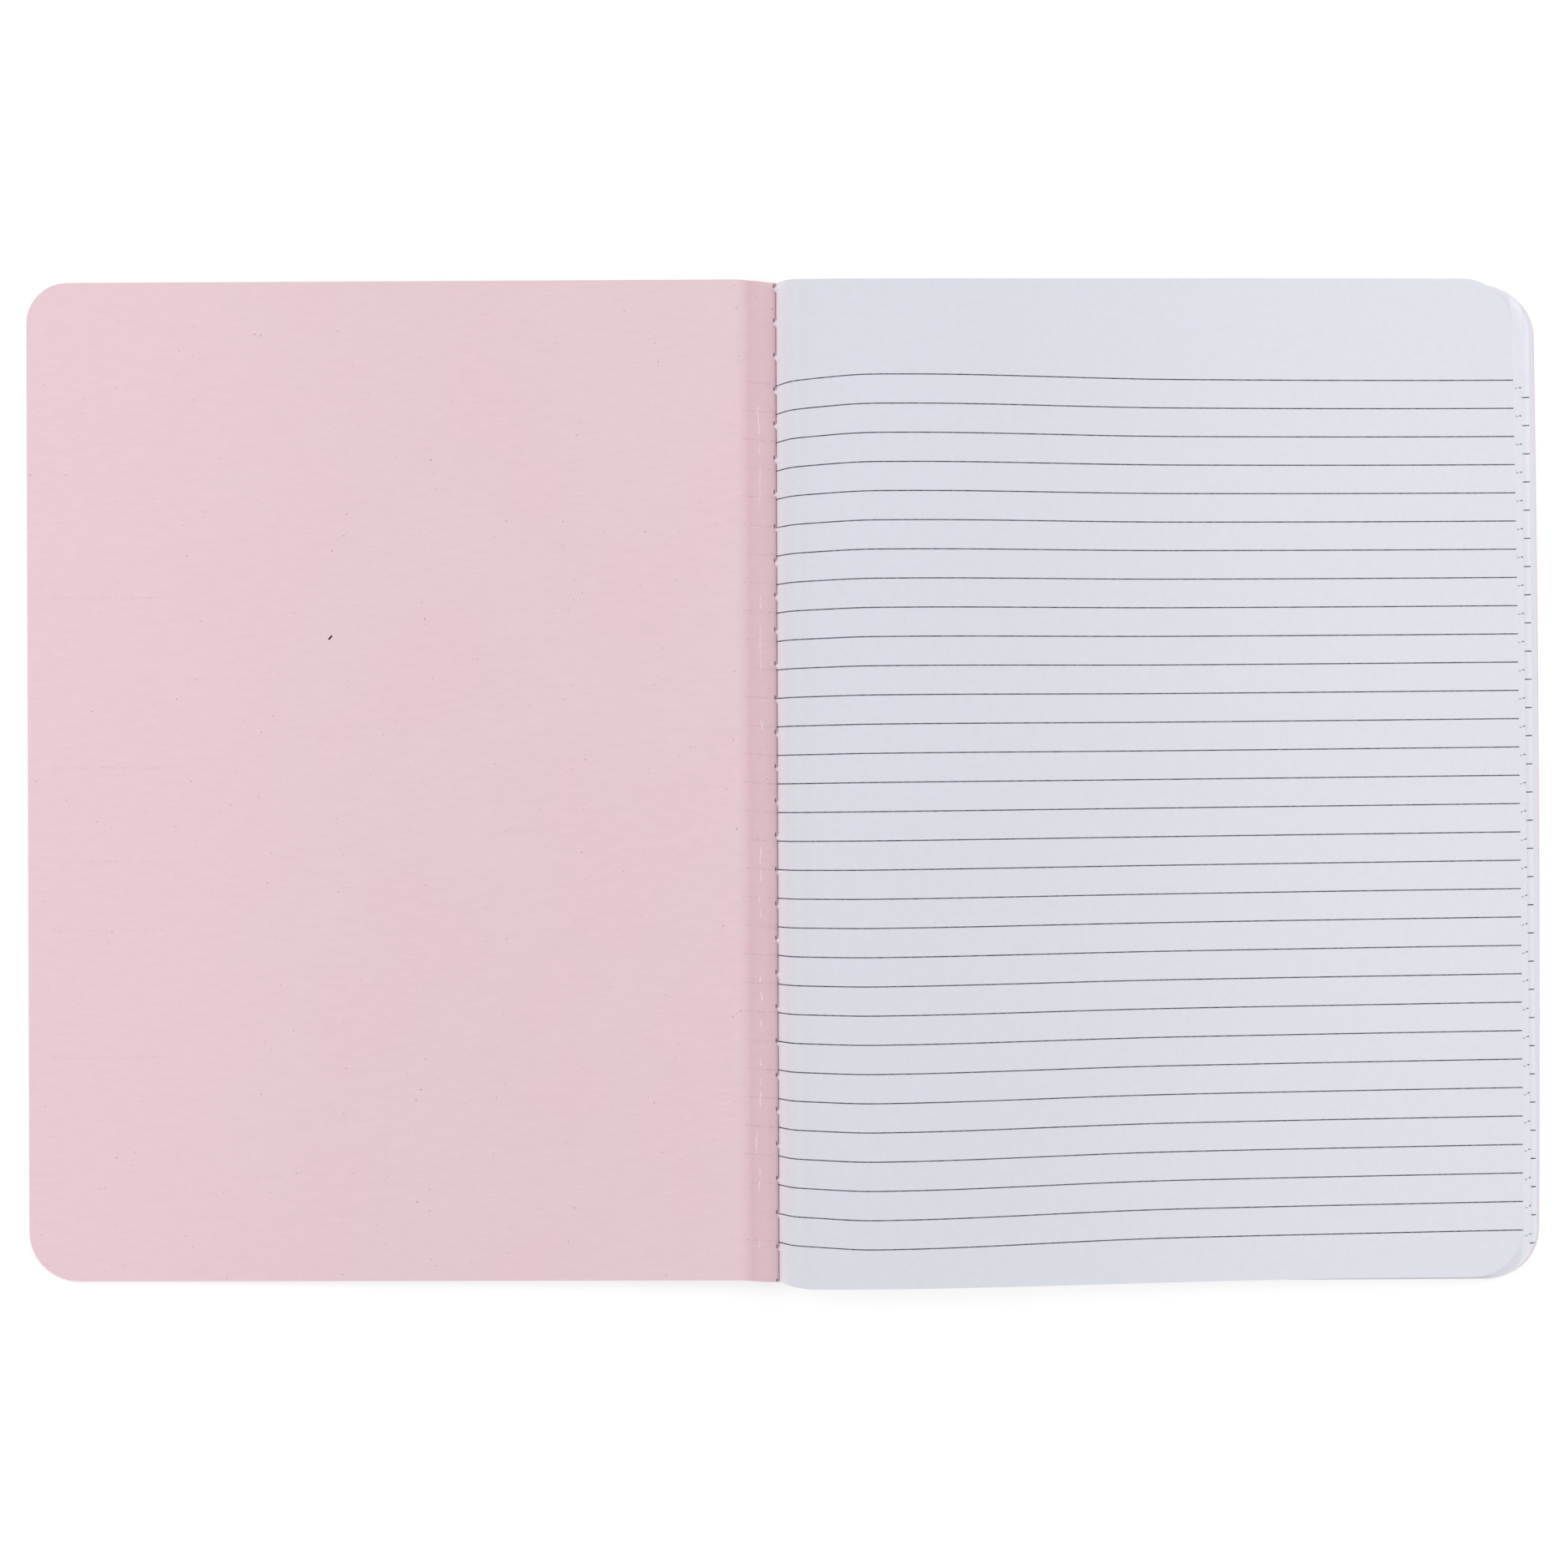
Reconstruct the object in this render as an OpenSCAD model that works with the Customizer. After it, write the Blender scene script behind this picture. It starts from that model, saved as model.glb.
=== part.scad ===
// Sewn composition notebook, lying open at its first page.
// X runs across the open book, Y towards the head of the page, Z up from the table.
// The origin is on the table, under the middle of the open book.
// The profiles are drawn from the fold: X is the distance to the right of the sewn fold.

/* [Leaves] */
// Height of the leaves and of the covers, which are cut flush
leaf_h = 247.65; // [180:0.05:320]
// Radius of the outer corners of leaves and covers
corner_r = 9.6; // [3:0.1:18]
// Distance from the fold to the fore edge of the first leaf, as it lies
top_reach = 183.8; // [150:0.1:220]
// How far the leaves under the first one run out, because they swell less
slant = 2.4; // [0.8:0.1:4]
// Width of the lower leaf that shows past them
ledge = 2; // [0.8:0.1:4]
// How far the lowest leaf reaches past that one
toe = 1.5; // [0.4:0.1:3]
// Bundles of leaves that show as steps, in the upper and in the lower half
bundles = 4; // [2:1:6]
// How far the first leaf's fore edge lies towards the head, past the fold
top_shift = 0.55; // [0:0.05:1]

/* [Swell] */
// Thickness of the page block at the fore edge
fore_t = 8; // [5:0.1:12]
// Thickness of the lower half, up to the leaf that shows as a ledge
ledge_t = 4; // [2.5:0.1:4.5]
// Height of the crest of the swell, above the back cover
crest_t = 15.8; // [13:0.1:20]
// Distance from the fold to the crest
crest_x = 28; // [20:0.5:40]
// Radius of the folded nose at the spine, below the sewing
nose_r = 4; // [3:0.1:5]

/* [Sewing] */
// Distance between two stitches
stitch_pitch = 8.5; // [6:0.1:12]
// Distance from the head to the first stitch
stitch_head = 1.6; // [1:0.1:4]
// Diameter of the needle holes
hole_d = 0.8; // [0.6:0.05:1]
// Diameter of the thread that lies along the fold
thread_d = 0.46; // [0.42:0.02:0.5]
// Diameter of the thread where it is drawn tight through the leaves
drawn_d = 0.36; // [0.2:0.02:0.4]
// Depth of the sewing, from the outside of the fold to its middle
sewing_depth = 5; // [3:0.1:6]
// Angle at which the needle enters the fold, up from the table
needle_angle = 10; // [5:1:20]
// How far the leaves bow back from the fold between two stitches
bow = 0.7; // [0.2:0.1:1]
// Width of the tip that a stitch holds in the fold
tip_w = 0.6; // [0.3:0.1:1.2]

/* [Covers] */
// Distance from the fold to the fore edge of the front cover
front_reach = 185.9; // [160:0.1:220]
// How far the back cover reaches past the lowest leaf
back_margin = 0.4; // [0:0.1:2]
// Thickness of the cover board
board_t = 0.6; // [0.55:0.05:1.5]
// Thickness of the pink lining paper
lining_t = 0.12; // [0.08:0.02:0.3]
// Thickness of the covering paper and of the cloth tape
skin_t = 0.25; // [0.15:0.05:0.4]
// Width of the band between the fold and the front board, which has no board in it
front_band = 11; // [8:0.5:16]
// Distance from the fold to the spine edge of the back board
back_band = 8.5; // [6:0.5:16]
// Height of the inside of the front cover where its board ends
band_z = 7; // [5.5:0.1:8]
// How far the tape overlaps each board
tape_lap = 29; // [15:1:45]
// How far the open front cover lies towards the head, past the leaves
front_shift = 0.65; // [0:0.05:1.5]
// How far the back cover and the lowest leaf lie towards the tail, past the fold
back_shift = 1; // [0:0.05:2]

/* [Hidden] */

$fn = 96;
// Clear width between pieces that turn against each other
joint_gap = 0.3;
// Clear width between papers that lie face to face round the fold
paper_gap = 0.02;
// Width over which the tape steps up from the board to the lining
tape_step = 0.8;
// Straight pieces in each half of the page's curve
curve_steps = 16;

cover_t = skin_t + board_t + lining_t;
fold_z = cover_t + nose_r;
ledge_reach = top_reach + slant + ledge;
lowest_reach = ledge_reach + toe;
back_reach = lowest_reach + back_margin;
middle_x = (back_reach - front_reach) / 2;
middle_y = (front_shift - back_shift) / 2;
// Inside of the front cover: it rests on its fore edge and rises to the board's end
front_slope = (band_z - cover_t) / (front_reach - front_band);
stitches = floor((leaf_h - 2 * stitch_head) / stitch_pitch) + 1;
// The front lining ends beside the part of it that is folded round the nose
front_start = joint_gap + paper_gap + lining_t;
// Lies outside the folded lining, so that the tape passes over it
thread_r = nose_r + paper_gap + lining_t + thread_d / 2 + paper_gap;

paper = "white";
pink = "#e6cbd3";
card = "#b9a996";
cloth = "#c99aa6";
thread = "ivory";

// Point on a cubic curve with end points a and d, drawn towards b and c
function cubic(a, b, c, d, t) =
    a * pow(1 - t, 3) + 3 * b * pow(1 - t, 2) * t + 3 * c * (1 - t) * pow(t, 2) + d * pow(t, 3);

// The first page, from the fold over the crest to the fore edge
function page_curve() =
    let(crest = [crest_x, cover_t + crest_t],
        edge = [top_reach, cover_t + fore_t],
        run = top_reach - crest_x)
    concat(
        [for (i = [0 : curve_steps])
            cubic([0, fold_z], crest - [crest_x * 0.84, 0],
                  crest - [crest_x * 0.94, 0], crest, i / curve_steps)],
        [for (i = [1 : curve_steps])
            cubic(crest, crest + [run * 0.2, 0], edge - [run * 0.48, 0], edge, i / curve_steps)]);

// Height of the front cover's inside, left of the fold
function front_z(x) = cover_t + (x + front_reach) * front_slope;

// A profile across the book, drawn out from tail to head
module drawn_out(points) {
    rotate([90, 0, 0])
        linear_extrude(leaf_h + 2 * top_shift, center = true)
            polygon(points);
}

// Plan of a leaf or cover that starts at x = start, has round outer corners, and slants
// towards the head until it is shifted by slant_y where those corners start
module leaf_plan(start, reach, slant_y = 0) {
    inner = reach - corner_r;
    half = leaf_h / 2;
    polygon([[start, -half], [inner, slant_y - half], [inner, slant_y + half], [start, half]]);
    translate([inner, slant_y - half + corner_r])
        square([corner_r, leaf_h - 2 * corner_r]);
    for (side = [-1, 1])
        translate([inner, slant_y + side * (half - corner_r)])
            circle(corner_r);
}

// Cuts what is drawn to the plan of a leaf or cover
module trimmed(start, reach, slant_y = 0) {
    intersection() {
        children();
        translate([0, 0, -cover_t])
            linear_extrude(crest_t + 3 * cover_t)
                leaf_plan(start, reach, slant_y);
    }
}

// A bundle of leaves that reaches from under the crest to its own fore edge
module bundle(height, reach, slant_y) {
    translate([0, 0, cover_t])
        linear_extrude(height)
            leaf_plan(crest_x, reach, slant_y);
}

// The same for the front cover, which lies to the left of the fold
module trimmed_front() {
    intersection() {
        children();
        translate([0, 0, -cover_t])
            linear_extrude(band_z + 3 * cover_t)
                mirror([1, 0])
                    leaf_plan(front_start, front_reach);
    }
}

// Puts one copy at each stitch
module at_stitches() {
    for (i = [0 : stitches - 1])
        translate([0, leaf_h / 2 - stitch_head - i * stitch_pitch, 0])
            children();
}

// A round rod along the needle's way, from distance start to end outside the nose's middle
module needle_way(d, start, end) {
    translate([nose_r, 0, fold_z])
        rotate([0, 90 - needle_angle, 0])
            translate([0, 0, -start])
                cylinder(h = start - end, d = d);
}

// A layer that lies round the lower quarter of the nose, and ends drop below its middle
module round_nose(inner_r, outer_r, drop) {
    translate([nose_r, 0, fold_z])
        rotate([90, 0, 0])
            linear_extrude(leaf_h, center = true)
                intersection() {
                    difference() {
                        circle(outer_r);
                        circle(inner_r);
                    }
                    translate([-outer_r, -outer_r])
                        square([outer_r, outer_r - drop]);
                }
}

// The space between two stitches, where the leaves bow back from the fold
module bow_cut() {
    chord = stitch_pitch - tip_w;
    r = (pow(chord / 2, 2) + pow(bow, 2)) / (2 * bow);
    translate([bow - r, -stitch_pitch / 2, fold_z])
        cylinder(h = crest_t, r = r);
}

module page_block() {
    first = page_curve();
    upper_drop = (fore_t - ledge_t) / (bundles + 1);
    shift_step = (top_shift + back_shift) / (2 * bundles);
    color(paper)
    difference() {
        union() {
            trimmed(0, top_reach, top_shift)
                drawn_out(concat([[nose_r, cover_t]], first, [[top_reach, cover_t]]));
            translate([nose_r, 0, fold_z])
                rotate([90, 0, 0])
                    linear_extrude(leaf_h, center = true)
                        intersection() {
                            circle(nose_r);
                            translate([-nose_r, -nose_r])
                                square(nose_r);
                        }
            for (i = [1 : bundles]) {
                bundle(fore_t - i * upper_drop, top_reach + slant * i / bundles,
                       top_shift - i * shift_step);
                bundle(ledge_t * (bundles + 1 - i) / bundles,
                       ledge_reach + toe * (i - 1) / (bundles - 1),
                       top_shift - (bundles + i) * shift_step);
            }
        }
        at_stitches() {
            bow_cut();
            needle_way(hole_d, nose_r * 2, nose_r - sewing_depth);
        }
        translate([0, leaf_h / 2 - stitch_head + stitch_pitch, 0])
            bow_cut();
    }
}

module sewing_thread() {
    color(thread) {
        translate([nose_r - thread_r * cos(needle_angle), 0,
                   fold_z - thread_r * sin(needle_angle)])
            rotate([90, 0, 0])
                cylinder(h = leaf_h - 2 * joint_gap, d = thread_d, center = true);
        at_stitches()
            needle_way(drawn_d, thread_r, nose_r - sewing_depth + joint_gap);
    }
}

module spine_fold() {
    color(pink)
    difference() {
        round_nose(nose_r + paper_gap, nose_r + paper_gap + lining_t, 0);
        at_stitches()
            needle_way(hole_d, nose_r * 2, 0);
    }
}

module spine_tape() {
    color(cloth)
        round_nose(fold_z - skin_t, fold_z, lining_t + joint_gap);
}

// A layer of the front cover, depth below its inside, between two distances from the fold
module front_layer(depth, thickness, from, to) {
    trimmed_front()
        drawn_out([[-from, front_z(-from) - depth], [-to, front_z(-to) - depth],
                   [-to, front_z(-to) - depth - thickness],
                   [-from, front_z(-from) - depth - thickness]]);
}

module front_board() {
    color(card)
        front_layer(lining_t, board_t, front_band, front_reach);
}

module front_lining() {
    color(pink)
        trimmed_front()
            drawn_out([[-front_start, fold_z], [-front_band, band_z], [-front_reach, cover_t],
                       [-front_reach, cover_t - lining_t], [-front_band, band_z - lining_t],
                       [-front_start, fold_z - lining_t]]);
}

module front_cover_sheet() {
    color(pink)
        front_layer(lining_t + board_t, skin_t, front_band + tape_lap, front_reach);
}

module front_tape_wing() {
    // The tape ends level with the outside of the tape round the nose
    near = fold_z - nose_r + joint_gap;
    dip = (band_z - fold_z) / (front_band - front_start);
    near_z = fold_z + (near - front_start) * dip - lining_t;
    step_z = fold_z + (front_band - tape_step - front_start) * dip - lining_t;
    far = front_band + tape_lap;
    under = lining_t + board_t;
    top = [[-near, near_z], [-front_band + tape_step, step_z],
           [-front_band, band_z - under], [-far, front_z(-far) - under]];
    color(cloth)
        trimmed_front()
            drawn_out(concat(top, [for (i = [len(top) - 1 : -1 : 0]) top[i] - [0, skin_t]]));
}

// A flat layer of the back cover that starts at height z
module back_layer(z, thickness, from, to) {
    trimmed(from, back_reach)
        translate([from, -leaf_h / 2, z])
            cube([to - from, leaf_h, thickness]);
}

module back_board() {
    color(card)
        back_layer(skin_t, board_t, back_band, back_reach);
}

module back_lining() {
    color(pink)
        back_layer(skin_t + board_t, lining_t, nose_r + joint_gap, back_reach);
}

module back_cover_sheet() {
    color(pink)
        back_layer(0, skin_t, back_band + tape_lap, back_reach);
}

module back_tape_wing() {
    color(cloth)
        back_layer(0, skin_t, nose_r + joint_gap, back_band + tape_lap);
}

// Moves a piece from the fold's frame to the middle of the open book
module placed(shift) {
    translate([-middle_x, shift - middle_y, 0])
        children();
}

placed(0) page_block();
placed(0) sewing_thread();
placed(0) spine_fold();
placed(0) spine_tape();
placed(front_shift) front_board();
placed(front_shift) front_lining();
placed(front_shift) front_cover_sheet();
placed(front_shift) front_tape_wing();
placed(-back_shift) back_board();
placed(-back_shift) back_lining();
placed(-back_shift) back_cover_sheet();
placed(-back_shift) back_tape_wing();
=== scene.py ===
"""Looks of an open sewn notebook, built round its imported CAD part.

Sizes are in millimetres and the object's meshes in metres. Profiles run across the book: x is
the distance to the right of the sewn fold, y goes towards the head, z is up from the table.
"""
from math import atan, cos, exp, pi, radians, sin, sqrt

import bpy
from mathutils import Matrix, Vector


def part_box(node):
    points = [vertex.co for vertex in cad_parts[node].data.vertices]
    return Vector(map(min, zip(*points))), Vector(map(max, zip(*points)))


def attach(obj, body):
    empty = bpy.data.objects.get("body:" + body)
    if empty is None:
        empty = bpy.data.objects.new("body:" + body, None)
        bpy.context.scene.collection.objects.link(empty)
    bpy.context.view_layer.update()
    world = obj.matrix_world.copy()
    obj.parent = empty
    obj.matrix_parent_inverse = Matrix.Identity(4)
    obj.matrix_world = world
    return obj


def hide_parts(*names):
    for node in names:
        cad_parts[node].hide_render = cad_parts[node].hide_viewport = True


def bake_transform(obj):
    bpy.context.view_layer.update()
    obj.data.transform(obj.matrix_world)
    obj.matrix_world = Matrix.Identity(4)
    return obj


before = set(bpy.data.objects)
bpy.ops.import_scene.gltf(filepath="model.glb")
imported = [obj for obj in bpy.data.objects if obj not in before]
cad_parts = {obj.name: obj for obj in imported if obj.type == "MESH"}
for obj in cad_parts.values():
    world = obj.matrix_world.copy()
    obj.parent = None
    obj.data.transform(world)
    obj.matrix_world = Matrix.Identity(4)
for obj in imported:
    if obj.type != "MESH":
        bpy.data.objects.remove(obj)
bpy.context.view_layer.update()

MM = 0.001

# Sizes taken from the frame
BLOCK_LOW, BLOCK_HIGH = (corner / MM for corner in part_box("page_block"))
NOSE_LOW, NOSE_HIGH = (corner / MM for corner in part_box("spine_fold"))
FRONT_LOW, FRONT_HIGH = (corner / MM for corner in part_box("front_board"))
BACK_LOW, BACK_HIGH = (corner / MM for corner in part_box("back_board"))

FOLD = Vector((BLOCK_LOW.x, (NOSE_LOW.y + NOSE_HIGH.y) / 2, 0))
LEAF_H = NOSE_HIGH.y - NOSE_LOW.y
COVER_T = BLOCK_LOW.z
CREST_Z = BLOCK_HIGH.z
FOLD_Z = NOSE_HIGH.z
NOSE_R = FOLD_Z - COVER_T
FRONT_REACH = FOLD.x - FRONT_LOW.x
BACK_REACH = BACK_HIGH.x - FOLD.x
FRONT_SHIFT = (FRONT_LOW.y + FRONT_HIGH.y) / 2 - FOLD.y
BACK_SHIFT = (BACK_LOW.y + BACK_HIGH.y) / 2 - FOLD.y
FRONT_BAND = FOLD.x - FRONT_HIGH.x
BACK_BAND = BACK_LOW.x - FOLD.x
FRONT_TAPE = FOLD.x - (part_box("front_tape_wing")[0] / MM).x
BACK_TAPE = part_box("back_tape_wing")[1].x / MM - FOLD.x

# The leaves
SHEETS = 50
SHEET_T = 0.07
LEAF_GAP = 0.01
CORNER_R = 12.3
# Fore edges: of the first leaf, of the last one of the slant below it, and of the ledge
TOP_REACH = 184.05
SLANTED_REACH = 187.15
LEDGE_REACH = 188.7
# The lowest leaf and the back cover reach a little past the frame's back cover
LOWEST_REACH = BACK_REACH + 0.3
BACK_EDGE_REACH = BACK_REACH + 0.55
# The fore edges are not square to the book and are trimmed in a slight bow: x lost per mm
# towards the head, and x lost 100 mm from the middle
TOP_SKEW, LEDGE_SKEW, LOW_SKEW = 0.0089, 0.0053, 0.0026
TOP_BOW, LOW_BOW = 0.46, 0.5
# How far the first leaf's fore edge and the lower leaves' lie towards the head, and where across
# the page they swing there
TOP_FAN, LOW_FAN = 0.55, -0.4
FAN_SPAN = (12, 155)
# How far the sewing holds the first leaf towards the tail, and where beside the fold it begins
FOLD_SAG = 0.48
SAG_SPAN = (0, 8)

# The first page rises from the fold to a crest and falls to its fore edge, on cubic curves. The
# handles of the rise lie at these shares of its width from the fold, and those of the fall
# reach in from its two ends by these shares
CREST_X = 28
RISE_START, RISE_END = 0.16, 0.06
FALL_START, FALL_END = 0.2, 0.48
FORE_T = 8
EDGE_Z = COVER_T + FORE_T
# The middle of the pile lies flat, level with the fold
MID_Z = FOLD_Z
# In the swell the leaves part, and each drawn sheet fills this share of the space to the next
FULLNESS = 0.85

# Columns in the rise, the fall, the nose and the lower half of a sheet, and in a round corner
FIRST_SHEET_STEPS = (24, 24, 8, 12)
INNER_SHEET_STEPS = (10, 10, 5, 1)
CORNER_STEPS = 9
# Above 1, the columns of the rise are closer together beside the fold
RISE_PACKING = 1.2
# A sheet lies flat from here on, past the nose
FLAT_X = NOSE_R + 2

# The ruling: its pitch and its middle beside the fold, and its steps to each side of the middle
RULE_PITCH, RULE_MIDDLE, RULE_STEPS = 7.0777, -7.47, 15
# The print ends half a step past its last rule
RULED = RULE_STEPS + 0.5
# The pitch grows over the swell, shrinks down its slope, and shrinks with each mm across
SWELL_GROWS, SLOPE_SHRINKS, MM_SHRINKS = 0.0825, 0.0713, 0.00034
SWELL_SPAN, SLOPE_SPAN = (2, 24), (30, 100)
# The rules run a little off square, and are bowed: all over, near the fore edge, in the fold
RULE_SLANT = 0.00865
PAGE_BOW, EDGE_BOW, FOLD_BOW, FOLD_BOW_X = 0.076, 0.309, 0.334, 4
EDGE_SPAN = (50, 170)
# How far the ledge's rules lie towards the tail. Down the fanned leaves they lie there by a
# growing share of it as far as FAN_TURN of the way, and then by a slightly smaller one
DRIFT, FAN_DRIFT, FAN_RETURN = 3.7, 0.46, 0.09
FAN_TURN, FAN_END = 0.37, 0.87
# Where the print of the inner sheets is taken, since they show only at their fore edges
INNER_PRINT_X = 180
# Millimetres in a step of the ruling, from which the width of a line is worked out
LINE_STEP = 7.1

# The sewing
STITCH_PITCH = 8.5
STITCH_HEAD = 1.6
STITCHES = 29
# A stitch pulls the first sheet's fold to the left: how far, and over what half width
TIP_PULL, TIP_HALF, TIP_SHARPNESS = 0.72, 0.9, 1.3
# Stitches differ by these shares in pull and width, and pull less towards the tail
PULL_UNEVEN, WIDTH_UNEVEN, TAIL_SLACK = 0.12, 0.15, 0.5
# The pull fades out this far across the page and down the nose
PULL_X, PULL_DOWN = 2.2, 1.2
# How far the fold rises for each mm of pull
PULL_LIFT = 1.3
# Distance from a stitch to its needle hole in the lining, towards the head
NEEDLE_OFF = 0.8

# The covers
LINING_T = 0.12
BOARD_T = 0.6
SKIN_T = 0.25
BAND_Z = 7.0
# The front cover's corner at the head is rounded more tightly than the others
FRONT_HEAD_R = 10.1
# How far the back cover lies towards the head of the frame's back cover
BACK_RAISE = 0.35
# The front band drops from the board's end to a crease, and dips to a groove beside the fold
CREASE, CREASE_DEPTH, CREASE_HALF = 6.9, 0.06, 0.8
CREASE_DROP, DROP_START = 0.45, -9.4
GROOVE_DIP, GROOVE_SPAN = 1.5, (-4.6, 0.4)
# The lining's strip beside the fold turns down and ends this far below the fold
STRIP, STRIP_END = 0.75, 0.2
FOLD_GAP = 0.02
# The tape eases from the board's outside to the band over this width. It drops a little from
# TAPE_DROP_X to TAPE_TURN left of the fold, where it turns down round the nose
TAPE_EASE = 1.6
TAPE_DROP, TAPE_DROP_X, TAPE_TURN = 0.25, 4, 1.2


def placed(x, y, z):
    """A point measured in mm from the fold, as a point of the frame in metres."""
    return (FOLD + Vector((x, y, z))) * MM


def cubic(a, b, c, d, t):
    return a * (1 - t) ** 3 + 3 * b * (1 - t) ** 2 * t + 3 * c * (1 - t) * t ** 2 + d * t ** 3


def smooth(value, low, high):
    """0 below low, 1 above high, and a smooth step between."""
    t = min(1, max(0, (value - low) / (high - low)))
    return t * t * (3 - 2 * t)


# Shape of the page
def rise(t):
    """The first page from the fold, t 0, to the crest of the swell, t 1."""
    return (cubic(0, CREST_X * RISE_START, CREST_X * RISE_END, CREST_X, t),
            cubic(FOLD_Z, CREST_Z, CREST_Z, CREST_Z, t))


def fall(x):
    """Height of the first page at x, from the crest to the fore edge."""
    run = TOP_REACH - CREST_X
    leave, arrive = CREST_X + run * FALL_START, TOP_REACH - run * FALL_END
    low, high = 0.0, 1.0
    for _ in range(30):
        t = (low + high) / 2
        if cubic(CREST_X, leave, arrive, TOP_REACH, t) < x:
            low = t
        else:
            high = t
    return cubic(CREST_Z, CREST_Z, EDGE_Z, EDGE_Z, low)


def half_height(x, reach, radius=CORNER_R):
    """Half the height of a leaf at x, less where its outer corners are round."""
    past = max(0, min(x - (reach - radius), radius))
    return LEAF_H / 2 - radius + sqrt(radius ** 2 - past ** 2)


def spread(start, end, count):
    """Even steps from start to end, without the start."""
    return [start + (end - start) * i / count for i in range(1, count + 1)]


def corner_columns(reach):
    return [reach - CORNER_R + CORNER_R * sin(pi / 2 * i / CORNER_STEPS)
            for i in range(1, CORNER_STEPS + 1)]


def stitch_y(i):
    """Place of a stitch, counted from the head."""
    return LEAF_H / 2 - STITCH_HEAD - i * STITCH_PITCH


def nearest_stitch(y):
    """Distance from y to the nearest stitch, and that stitch's number from the head."""
    i = round((LEAF_H / 2 - STITCH_HEAD - y) / STITCH_PITCH)
    i = min(STITCHES - 1, max(0, i))
    return y - stitch_y(i), i


def fold_pull(y):
    """How far the stitches pull the fold of the first sheet to the left at y."""
    off, i = nearest_stitch(y)
    tight = 1 + PULL_UNEVEN * sin(i * 2.4) - TAIL_SLACK * smooth(i / STITCHES, 0, 0.5)
    half = TIP_HALF * (1 + WIDTH_UNEVEN * sin(i * 1.7))
    return TIP_PULL * tight * max(0, 1 - abs(off) / half) ** TIP_SHARPNESS


def sheet_path(number, rise_steps, fall_steps, nose_steps, lower_steps):
    """Columns of a folded sheet from its lower fore edge round the nose to its upper one.

    Each column is (x, z, reach of its leaf, depth of its leaf in the pile from 0 to 1).
    """
    depth = number / SHEETS
    upper_reach = TOP_REACH + (SLANTED_REACH - TOP_REACH) * depth
    lower_reach = LOWEST_REACH + (LEDGE_REACH - LOWEST_REACH) * depth
    inset = NOSE_R * depth
    lower_z = COVER_T + LEAF_GAP + inset
    upper, lower = depth / 2, 1 - depth / 2
    xs = [FLAT_X] + spread(FLAT_X, lower_reach - CORNER_R, lower_steps)
    xs += corner_columns(lower_reach)
    path = [(x, lower_z, lower_reach, lower) for x in reversed(xs)]
    radius = NOSE_R - inset - LEAF_GAP
    for i in range(nose_steps):
        a = pi / 2 * i / nose_steps
        path.append((NOSE_R - radius * sin(a), FOLD_Z - radius * cos(a), lower_reach, 0.5))
    for i in range(rise_steps + 1):
        x, z = rise((i / rise_steps) ** RISE_PACKING)
        x += (inset + LEAF_GAP) * (1 - x / CREST_X) ** 2
        path.append((x, MID_Z + (z - MID_Z) * (1 - depth), upper_reach, upper))
    xs = spread(CREST_X, upper_reach - CORNER_R, fall_steps) + corner_columns(upper_reach)
    path += [(x, MID_Z + (fall(min(x, TOP_REACH)) - MID_Z) * (1 - depth), upper_reach, upper)
             for x in xs]
    return path


def leaf_shift(x, depth):
    """How far a leaf lies towards the head at x.

    The sewing holds the upper leaves a little low at the fold, and they fan from the first
    leaf, which swings towards the head, to the lower ones.
    """
    sag = FOLD_SAG * (1 - smooth(depth, 0, 0.5)) * smooth(x, *SAG_SPAN)
    fan = TOP_FAN + (LOW_FAN - TOP_FAN) * min(1, 2 * depth)
    return -sag + (fan + sag) * smooth(x, *FAN_SPAN)


def edge_shift(x, y, reach, depth):
    """How far the slant and bow of a leaf's or cover's fore edge move a point."""
    skew, bow = TOP_SKEW, TOP_BOW
    if depth >= 0.5:
        skew, bow = LEDGE_SKEW + (LOW_SKEW - LEDGE_SKEW) * (2 * depth - 1), LOW_BOW
    return -(skew * y + bow * (y / 100) ** 2) * (x / reach) ** 2


def rule_place(x, y, depth):
    """The print's own coordinate: a whole number on each rule, 0 on the middle one.

    The printed rules lie a little off square and close up towards the fore edge. On the fanned
    leaves they lie further towards the tail, and furthest on the ledge below those.
    """
    under = 2 * depth
    drift = 1
    if under < 1:
        drift = (FAN_DRIFT * smooth(under, 0, FAN_TURN)
                 - FAN_RETURN * smooth(under, FAN_TURN, FAN_END))
    pitch = (RULE_PITCH + SWELL_GROWS * smooth(x, *SWELL_SPAN)
             - SLOPE_SHRINKS * smooth(x, *SLOPE_SPAN) - MM_SHRINKS * x)
    middle = RULE_MIDDLE + RULE_SLANT * x - DRIFT * drift
    bow = (-PAGE_BOW - EDGE_BOW * smooth(x, *EDGE_SPAN)
           - FOLD_BOW * exp(-max(x, 0) / FOLD_BOW_X))
    step = (y - middle) / pitch
    return step - bow / pitch * (step / RULE_STEPS) ** 2


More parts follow.
